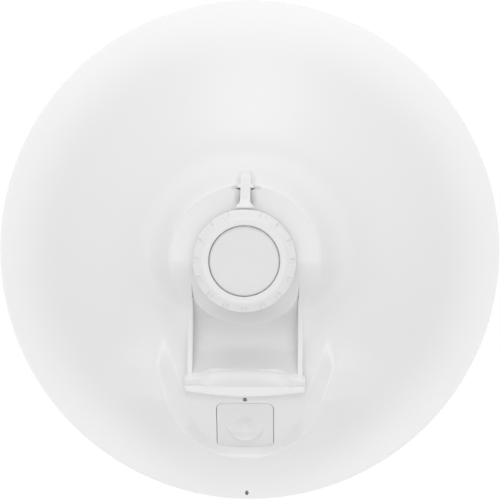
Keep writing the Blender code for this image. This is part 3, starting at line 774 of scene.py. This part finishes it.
def lip_section(x):
    """The lip's outline at one place across it, as heights and depths."""
    t = x / LIP_HALF
    crest = lip_crest(x)
    start = float(crest_depth(x))
    low = LIP_UNDERSIDE + LIP_LOW_BOW * t * t
    front = max(LIP_FRONT - LIP_ARC + math.sqrt(LIP_ARC**2 - x**2), start + 0.0006)
    edge_up = LIP_TOP + 0.0006
    outline = [(low, LIP_BACK), (low, front - LIP_EDGE - 0.003)]
    outline += arc((low + LIP_EDGE, front - LIP_EDGE - 0.0003), LIP_EDGE, 180, 90, 7)
    outline += arc((edge_up - LIP_EDGE, front - LIP_EDGE - 0.0006), LIP_EDGE, 80, 25, 6)
    outline += [(crest - 0.0022, start + 0.0012), (crest, start), (crest + 0.0012, start - 0.0014)]
    outline += [(crest + 0.0012, LIP_BACK)]
    return np.array(outline)


places = np.concatenate((
    np.linspace(-LIP_HALF, -LIP_HALF + LIP_END, 10),
    np.linspace(-LIP_MIDDLE, LIP_MIDDLE, 60),
    np.linspace(LIP_HALF - LIP_END, LIP_HALF, 10),
))
rows = []
for x in places:
    section = lip_section(x)
    into_end = max(abs(x) - LIP_HALF + LIP_END, 0.0) / LIP_END
    shrunk = LIP_END * (1 - math.sqrt(max(1 - into_end**2, 0.0)))
    middle = (section.min(axis=0) + section.max(axis=0)) / 2
    half = (section.max(axis=0) - section.min(axis=0)) / 2
    section = middle + (section - middle) * (half - shrunk * LIP_END_ROUNDING) / half
    rows.append(np.array([(x, up, depth) for up, depth in section]))
points, faces = skinned(rows)
lip = mesh_piece("rest_lip_moulding", points, faces, smooth_angle=50)
lip.data.materials.append(shell_plastic)
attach(lip, "root")
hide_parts("rest_lip")


# The lock ring: a turned ring of the same white plastic that screws on the hub. Its face is a flat band, and
# the sloped band outside it has fifteen shallow finger notches. The tongue's root is where the sixteenth
# would be.
RING_FRONT = 0.0820
RING_FOOT = 0.0703
RING_RADIUS = 0.0249
RING_FACE_RADIUS = 0.0211
RING_MOUTH = 0.0172
RING_MOUTH_FOOT = 0.0768
RING_INNER = 0.0195
RING_EDGE = 0.0005
RING_SLOPE = 0.72
RING_SLOPE_START = 0.0215
RING_SLOPE_DEPTH = 0.0812
RING_NOTCHES = 16
RING_NOTCH_HALF = 0.0015
RING_NOTCH_SOFT = 0.0004
RING_NOTCH_INNER = 0.0221
RING_NOTCH_DEPTH = 0.0009
RING_WALL_INSIDE = 0.048
RING_WALL_OUTSIDE = 0.072
RING_WHITE = (0.70, 0.70, 0.705)


def ring_profile():
    """The ring's section from the foot of its mouth over its face to its outer foot, as radius and depth."""
    profile = [(RING_MOUTH, RING_MOUTH_FOOT), (RING_MOUTH, RING_FRONT - 0.0025)]
    profile += arc((RING_MOUTH + RING_EDGE, RING_FRONT - RING_EDGE), RING_EDGE, 180, 90, 5)
    profile += arc((RING_FACE_RADIUS - 0.0012, RING_FRONT - 0.0016), 0.0016, 90, 50, 6)
    for radius in (RING_SLOPE_START, 0.0219, 0.0221, 0.0223, 0.0225):
        profile.append((radius, RING_SLOPE_DEPTH - RING_SLOPE * (radius - RING_SLOPE_START)))
    profile += [(0.0232, 0.0798), (0.0239, 0.0793)]
    profile += arc((RING_RADIUS - 0.0010, 0.0782), 0.0010, 60, 0, 5)
    profile += [(RING_RADIUS, 0.0772), (RING_RADIUS, 0.0755), (RING_RADIUS - 0.0002, RING_FOOT)]
    return np.array(profile)


def notch_share(angle):
    """How much of a notch is open at an angle, with its walls and its rounded edges."""
    pitch = 2 * math.pi / RING_NOTCHES
    turn = angle - math.pi / 2
    nearest = np.round(turn / pitch)
    off = np.abs(turn - nearest * pitch) * RING_RADIUS
    share = eased((RING_NOTCH_HALF + RING_NOTCH_SOFT / 2 - off) / RING_NOTCH_SOFT)
    return np.where(np.mod(nearest, RING_NOTCHES) == 0, 0.0, share)


pitch = 2 * math.pi / RING_NOTCHES
steps = np.concatenate((
    np.linspace(-pitch / 2, -RING_WALL_OUTSIDE, 9, endpoint=False),
    np.linspace(-RING_WALL_OUTSIDE, -RING_WALL_INSIDE, 12, endpoint=False),
    np.linspace(-RING_WALL_INSIDE, RING_WALL_INSIDE, 10, endpoint=False),
    np.linspace(RING_WALL_INSIDE, RING_WALL_OUTSIDE, 12, endpoint=False),
    np.linspace(RING_WALL_OUTSIDE, pitch / 2, 9, endpoint=False),
))
angles = np.concatenate([math.pi / 2 + pitch * index + steps for index in range(RING_NOTCHES)])
shares = notch_share(angles)
rows = []
for radius, depth in ring_profile():
    lowered = shares * RING_NOTCH_DEPTH * float(eased((radius - RING_NOTCH_INNER) / 0.0004))
    lowered = lowered * float(eased((depth - 0.0752) / 0.0020))
    rows.append(np.column_stack((radius * np.cos(angles), radius * np.sin(angles), depth - lowered)))
rows += [ring_of(angles, RING_INNER, level(depth)) for depth in (RING_FOOT, RING_MOUTH_FOOT)]
points, faces = skinned(rows, capped=False)
count = len(angles)
last = (len(rows) - 1) * count
faces += [(last + i, last + (i + 1) % count, (i + 1) % count, i) for i in range(count)]
ring = mesh_piece("lock_ring_moulding", points, faces, smooth_angle=35)
ring_plastic = moulded_plastic("ring_plastic", RING_WHITE, 0.36, coat=0.25)
ring.data.materials.append(ring_plastic)
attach(ring, "root")
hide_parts("lock_ring")


# The hub's disc: a plain turned disc of white plastic, recessed in the ring's mouth, with a soft bevel round
# its face. The mast's bracket rests on it.
DISC_RADIUS = 0.01708
DISC_BEVEL = 0.0009
DISC_FOOT = 0.0769
DISC_WHITE = (0.67, 0.67, 0.675)

angles = np.linspace(0, 2 * math.pi, 240, endpoint=False)
profile = [(radius, HUB_FACE) for radius in (0.0015, 0.008, 0.0140, DISC_RADIUS - DISC_BEVEL - 0.0005)]
profile += arc((DISC_RADIUS - DISC_BEVEL, HUB_FACE - DISC_BEVEL), DISC_BEVEL, 90, 0, 6)
profile += [(DISC_RADIUS, DISC_FOOT + 0.0004), (DISC_RADIUS, DISC_FOOT)]
points, faces = skinned([ring_of(angles, radius, level(depth)) for radius, depth in profile])
disc = mesh_piece("hub_disc_moulding", points, faces, smooth_angle=40)
disc.data.materials.append(moulded_plastic("disc_plastic", DISC_WHITE, 0.40, coat=0.25))
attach(disc, "root")
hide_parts("hub_disc")


# The lock tongue: a springy strip of the ring's plastic, moulded on the ring and flared at its root, with
# two barbs that catch behind the head's notch. It rides on its own body and bends at its thin root.
TONGUE_ROOT = 0.0254
TONGUE_START = 0.0251
TONGUE_TIP = 0.0418
TONGUE_HALF = 0.00250
TONGUE_FLARE = 0.0026
TONGUE_FLARE_LENGTH = 0.0034
TONGUE_BARB = 0.0044
TONGUE_EDGE = 0.0004
BARB_START = 0.0350
BARB_END = 0.0376
BARB_LENGTH = 0.0026


def tongue_half(up):
    """Half of the tongue's width at one height."""
    flare = TONGUE_FLARE * max((TONGUE_ROOT + TONGUE_FLARE_LENGTH - up) / TONGUE_FLARE_LENGTH, 0.0) ** 1.6
    taper = min(max((BARB_END - up) / BARB_LENGTH, 0.0), 1.0)
    barb = (TONGUE_BARB - TONGUE_HALF) * taper * (up >= BARB_START)
    tip = TONGUE_EDGE * max((up - TONGUE_TIP + TONGUE_EDGE) / TONGUE_EDGE, 0.0) ** 2
    return TONGUE_HALF + flare + barb - tip


tongue_face = [(TONGUE_START, 0.0781), (TONGUE_ROOT + 0.0006, 0.0790), (0.0295, 0.0735), (0.0400, 0.0662),
               (TONGUE_TIP, 0.0630)]
tongue_back = [(TONGUE_START, 0.0770), (0.0295, 0.0712), (0.0350, 0.0674), (0.0400, 0.0638),
               (TONGUE_TIP, 0.0606)]
rows = []
heights = np.concatenate((
    np.linspace(TONGUE_START, 0.0349, 30),
    [0.03498, BARB_START],
    np.linspace(0.0353, TONGUE_TIP, 24),
))
for up in heights:
    half = tongue_half(up)
    face = np.interp(up, *zip(*tongue_face))
    back = np.interp(up, *zip(*tongue_back))
    corner = min(TONGUE_EDGE, half / 2)
    section = [(-half, back), (half, back), (half, face - corner - 0.0003)]
    section += arc((half - corner, face - corner), corner, 0, 90, 4)
    section += arc((-half + corner, face - corner), corner, 90, 180, 4)
    section += [(-half, face - corner - 0.0003)]
    rows.append(np.array([(x, up, depth) for x, depth in section]))
points, faces = skinned(rows)
tongue = mesh_piece("lock_tongue_moulding", points, faces, smooth_angle=45)
tongue.data.materials.append(ring_plastic)
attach(tongue, "tongue")
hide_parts("lock_tongue")


# The port cover: a flat lid of white plastic that snaps into the pocket's floor, with a round thumb dimple
# and a raised crescent that the thumb pulls on. Circles round the dimple turn into the lid's outline.
DIMPLE_RADIUS = 0.0060
DIMPLE_DEPTH = 0.0016
DIMPLE_UP = 0.0010
CRESCENT_RADIUS = 0.0084
CRESCENT_HEIGHT = 0.0014
CRESCENT_WIDTH = 0.0008
CRESCENT_REACH = math.radians(84)
LAST_CIRCLE = 0.0106
COVER_EDGE = 0.00025
COVER_EDGE_END = -0.0100
COVER_WHITE = (0.69, 0.69, 0.695)


def cover_relief(across, along):
    """How far the lid's face stands out, where it is dished and where the crescent is raised."""
    inside = np.hypot(across, along - DIMPLE_UP) / DIMPLE_RADIUS
    dish = -DIMPLE_DEPTH * (1 - eased(inside))
    distance = np.hypot(across, along)
    round_from_low = np.abs(np.arctan2(across, -along))
    fading = eased((CRESCENT_REACH - round_from_low) / math.radians(50))
    ending = eased((CRESCENT_REACH + math.radians(6) - round_from_low) / math.radians(8))
    share = fading * 0.75 + 0.25 * ending
    ridge = CRESCENT_HEIGHT * share * np.exp(-(((distance - CRESCENT_RADIUS) / CRESCENT_WIDTH) ** 2))
    return dish + ridge


outline = np.array(cover_outline(0.0, 0.0))
edges = np.roll(outline, -1, axis=0) - outline
round_the_edge = []
for start, edge in zip(outline, edges):
    pieces = max(int(np.hypot(*edge) / 0.0004), 1)
    round_the_edge += [start + edge * k / pieces for k in range(pieces)]
rim = np.array(round_the_edge)
ways = rim / np.hypot(rim[:, 0], rim[:, 1])[:, None]
layers = [ways * radius for radius in np.linspace(0.0004, LAST_CIRCLE, 44)]
layers += [ways * LAST_CIRCLE + (rim - ways * LAST_CIRCLE) * share for share in (0.25, 0.5, 0.75, 0.90)]
inset = rim - ways * COVER_EDGE * (rim[:, 1:] > COVER_EDGE_END)
rows = []
for layer in layers + [inset]:
    out = cover_relief(layer[:, 0], layer[:, 1])
    rows.append(np.column_stack(on_slope(layer[:, 0], layer[:, 1], out)))
for out in (-COVER_EDGE, -0.0010, -COVER_THICKNESS):
    rows.append(np.column_stack(on_slope(rim[:, 0], rim[:, 1], np.full(len(rim), out))))
points, faces = skinned(rows)
cover = mesh_piece("port_cover_moulding", points, faces, smooth_angle=50)
cover.data.materials.append(moulded_plastic("cover_plastic", COVER_WHITE, 0.40, coat=0.25))
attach(cover, "cover")
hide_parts("port_cover")


# The reflector: the thin front paraboloid in glossy white plastic, with a rounded lip round its rim that the
# shell sits on.
LIP_OUTER = 0.130
RIM_BACK = -0.0007
RIM_ROUND = 0.0011
REFLECTOR_WHITE = (0.82, 0.82, 0.825)


def reflector_front(radius):
    """The depth of the reflector's front face, a paraboloid."""
    return REFLECTOR_FRONT + (REFLECTOR_SEAT**2 - radius**2) / (4 * REFLECTOR_FOCUS)


angles = np.linspace(0, 2 * math.pi, 288, endpoint=False)
profile = []
for radius in np.linspace(0.004, 0.1282, 28):
    profile.append((radius, reflector_front(radius) + REFLECTOR_THICKNESS))
profile += [(REFLECTOR_SEAT, RIM_BACK), (LIP_OUTER - 0.0003, RIM_BACK), (LIP_OUTER, RIM_BACK - 0.0004)]
profile += [(LIP_OUTER, REFLECTOR_FRONT + RIM_ROUND)]
profile += arc((LIP_OUTER - RIM_ROUND, REFLECTOR_FRONT + RIM_ROUND), RIM_ROUND, -15, -90, 6)
profile += [(radius, reflector_front(radius)) for radius in np.linspace(0.1278, 0.004, 44)]
points, faces = skinned([ring_of(angles, radius, level(depth)) for radius, depth in profile])
reflector = mesh_piece("reflector_bowl", points, faces, smooth_angle=40)
reflector_finish = moulded_plastic("reflector_finish", REFLECTOR_WHITE, 0.28, coat=0.6, relief=0.02)
reflector.data.materials.append(reflector_finish)
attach(reflector, "root")
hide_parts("reflector")


# The feed: a grey plastic collar on the reflector's middle, a white tube along the boresight, the flared
# dielectric cone and the small sub-reflector that closes it, each turned and pushed on the one before.
COLLAR_RADIUS = 0.016
COLLAR_COLOUR = (0.42, 0.43, 0.44)
CONE_THROAT = 0.0082
CONE_STRAIGHT = 0.003
FEED_COLOUR = (0.80, 0.80, 0.80)
FEED_TUBE = 0.0070
FEED_TIP = -0.0755
SUB_REFLECTOR_RADIUS = 0.022
FEED_GAP = 0.0003

angles = np.linspace(0, 2 * math.pi, 96, endpoint=False)
collar_foot = reflector_front(COLLAR_RADIUS) - FEED_GAP
collar_top = collar_foot - 0.0075
tube_foot = collar_top - FEED_GAP
tube_end = FEED_TIP + 0.0182
cone_foot = tube_end - FEED_GAP
cone_end = FEED_TIP + 0.0040
cap_back = cone_end - FEED_GAP
feed_white = moulded_plastic("feed_plastic", FEED_COLOUR, 0.34, coat=0.4)
feed_grey = moulded_plastic("feed_collar_plastic", COLLAR_COLOUR, 0.45, coat=0.2)

collar = [(0.002, collar_foot), (0.0157, collar_foot), (COLLAR_RADIUS, collar_foot - 0.0004)]
collar += [(COLLAR_RADIUS, collar_foot - 0.0030), (0.0156, collar_foot - 0.0036)]
collar += [(0.0112, collar_top + 0.0008), (0.0104, collar_top), (0.002, collar_top)]
tube = [(0.001, tube_foot), (FEED_TUBE, tube_foot)]
for groove in np.linspace(tube_foot - 0.006, tube_end + 0.008, 4):
    tube += [(FEED_TUBE, groove + 0.0006), (FEED_TUBE - 0.0003, groove + 0.0002)]
    tube += [(FEED_TUBE - 0.0003, groove - 0.0002), (FEED_TUBE, groove - 0.0006)]
tube += [(FEED_TUBE, tube_end), (0.001, tube_end)]
cone = [(0.001, cone_foot), (0.0080, cone_foot), (CONE_THROAT, cone_foot - 0.0003)]
cone += [(CONE_THROAT, cone_foot - CONE_STRAIGHT)]
for share in np.linspace(0.12, 0.97, 8):
    radius = CONE_THROAT + (SUB_REFLECTOR_RADIUS - 0.002 - CONE_THROAT) * share
    cone.append((radius, cone_foot - CONE_STRAIGHT + (cone_end - cone_foot + CONE_STRAIGHT) * share))
cone += [(SUB_REFLECTOR_RADIUS - 0.002, cone_end), (0.001, cone_end)]
cap = [(0.001, cap_back), (SUB_REFLECTOR_RADIUS - 0.0006, cap_back)]
cap += [(SUB_REFLECTOR_RADIUS, cap_back - 0.0006), (SUB_REFLECTOR_RADIUS, FEED_TIP + 0.0012)]
cap += arc((SUB_REFLECTOR_RADIUS - 0.0012, FEED_TIP + 0.0012), 0.0012, -15, -90, 5)
cap += [(0.0150, FEED_TIP), (0.0145, FEED_TIP + 0.0003), (0.001, FEED_TIP + 0.0003)]
for node, profile, finish, slot in (
    ("feed_collar", collar, feed_grey, "feed_grey"),
    ("feed_tube", tube, feed_white, "feed_white"),
    ("feed_cone", cone, feed_white, "feed_white"),
    ("sub_reflector", cap, feed_white, "feed_white"),
):
    points, faces = skinned([ring_of(angles, radius, level(depth)) for radius, depth in profile])
    turned = mesh_piece(f"{node}_turned", points, faces, smooth_angle=35)
    turned.data.materials.append(finish)
    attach(turned, "root")
    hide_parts(node)


# What lies behind the cover: the grey moulded bay, the plated network socket with its black insert and gilt
# contacts, the reset button and the status light's dark lens. They keep their solid shapes.
BAY_COLOUR = (0.45, 0.46, 0.47)
PLATED_COLOUR = (0.72, 0.72, 0.70)
GILT_COLOUR = (0.90, 0.70, 0.32)
BLACK_COLOUR = (0.02, 0.02, 0.022)
LENS_COLOUR = (0.16, 0.16, 0.165)
BRUSH_ACROSS = 300.0
BRUSH_SCALE = 12.0
BRUSH_SHADE = 0.10
BRUSH_SHEEN = 0.2


def plated_metal(name, colour, roughness, brushed):
    """Plated sheet: a fine brushed grain along the sheet and slightly uneven gloss."""
    finish = bpy.data.materials.new(name)
    finish.use_nodes = True
    nodes = Nodes(finish.node_tree)
    shader = finish.node_tree.nodes["Principled BSDF"]
    place = nodes.out(nodes.made("ShaderNodeTexCoord"), "Object")
    stretch = (brushed, BRUSH_ACROSS, BRUSH_ACROSS)
    along = nodes.made("ShaderNodeVectorMath", {"operation": "MULTIPLY"}, {0: place, 1: stretch})
    lines = nodes.made("ShaderNodeTexNoise", inputs={"Vector": nodes.out(along), "Scale": BRUSH_SCALE})
    grain = nodes.out(lines)
    tint = nodes.made("ShaderNodeVectorMath", {"operation": "SCALE"}, {0: colour})
    nodes.feed(1 + (grain - 0.5) * BRUSH_SHADE, tint, "Scale")
    nodes.feed(nodes.out(tint), shader, "Base Color")
    nodes.feed(roughness + (grain - 0.5) * BRUSH_SHEEN, shader, "Roughness")
    shader.inputs["Metallic"].default_value = 1.0
    return finish


bay_plastic = moulded_plastic("bay_plastic", BAY_COLOUR, 0.5, coat=0.1)
black_plastic = moulded_plastic("black_plastic", BLACK_COLOUR, 0.45, coat=0.2, mottle=0.05)
for node, finish in (
    ("port_bay", bay_plastic),
    ("network_socket", plated_metal("plated_shell", PLATED_COLOUR, 0.3, 20.0)),
    ("socket_insert", black_plastic),
    ("socket_contacts", plated_metal("gilt_contacts", GILT_COLOUR, 0.25, 60.0)),
    ("reset_button", black_plastic),
    ("status_light", moulded_plastic("light_lens", LENS_COLOUR, 0.25, coat=0.8, mottle=0.05)),
):
    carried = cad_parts[node].data
    carried.materials.clear()
    carried.materials.append(finish)
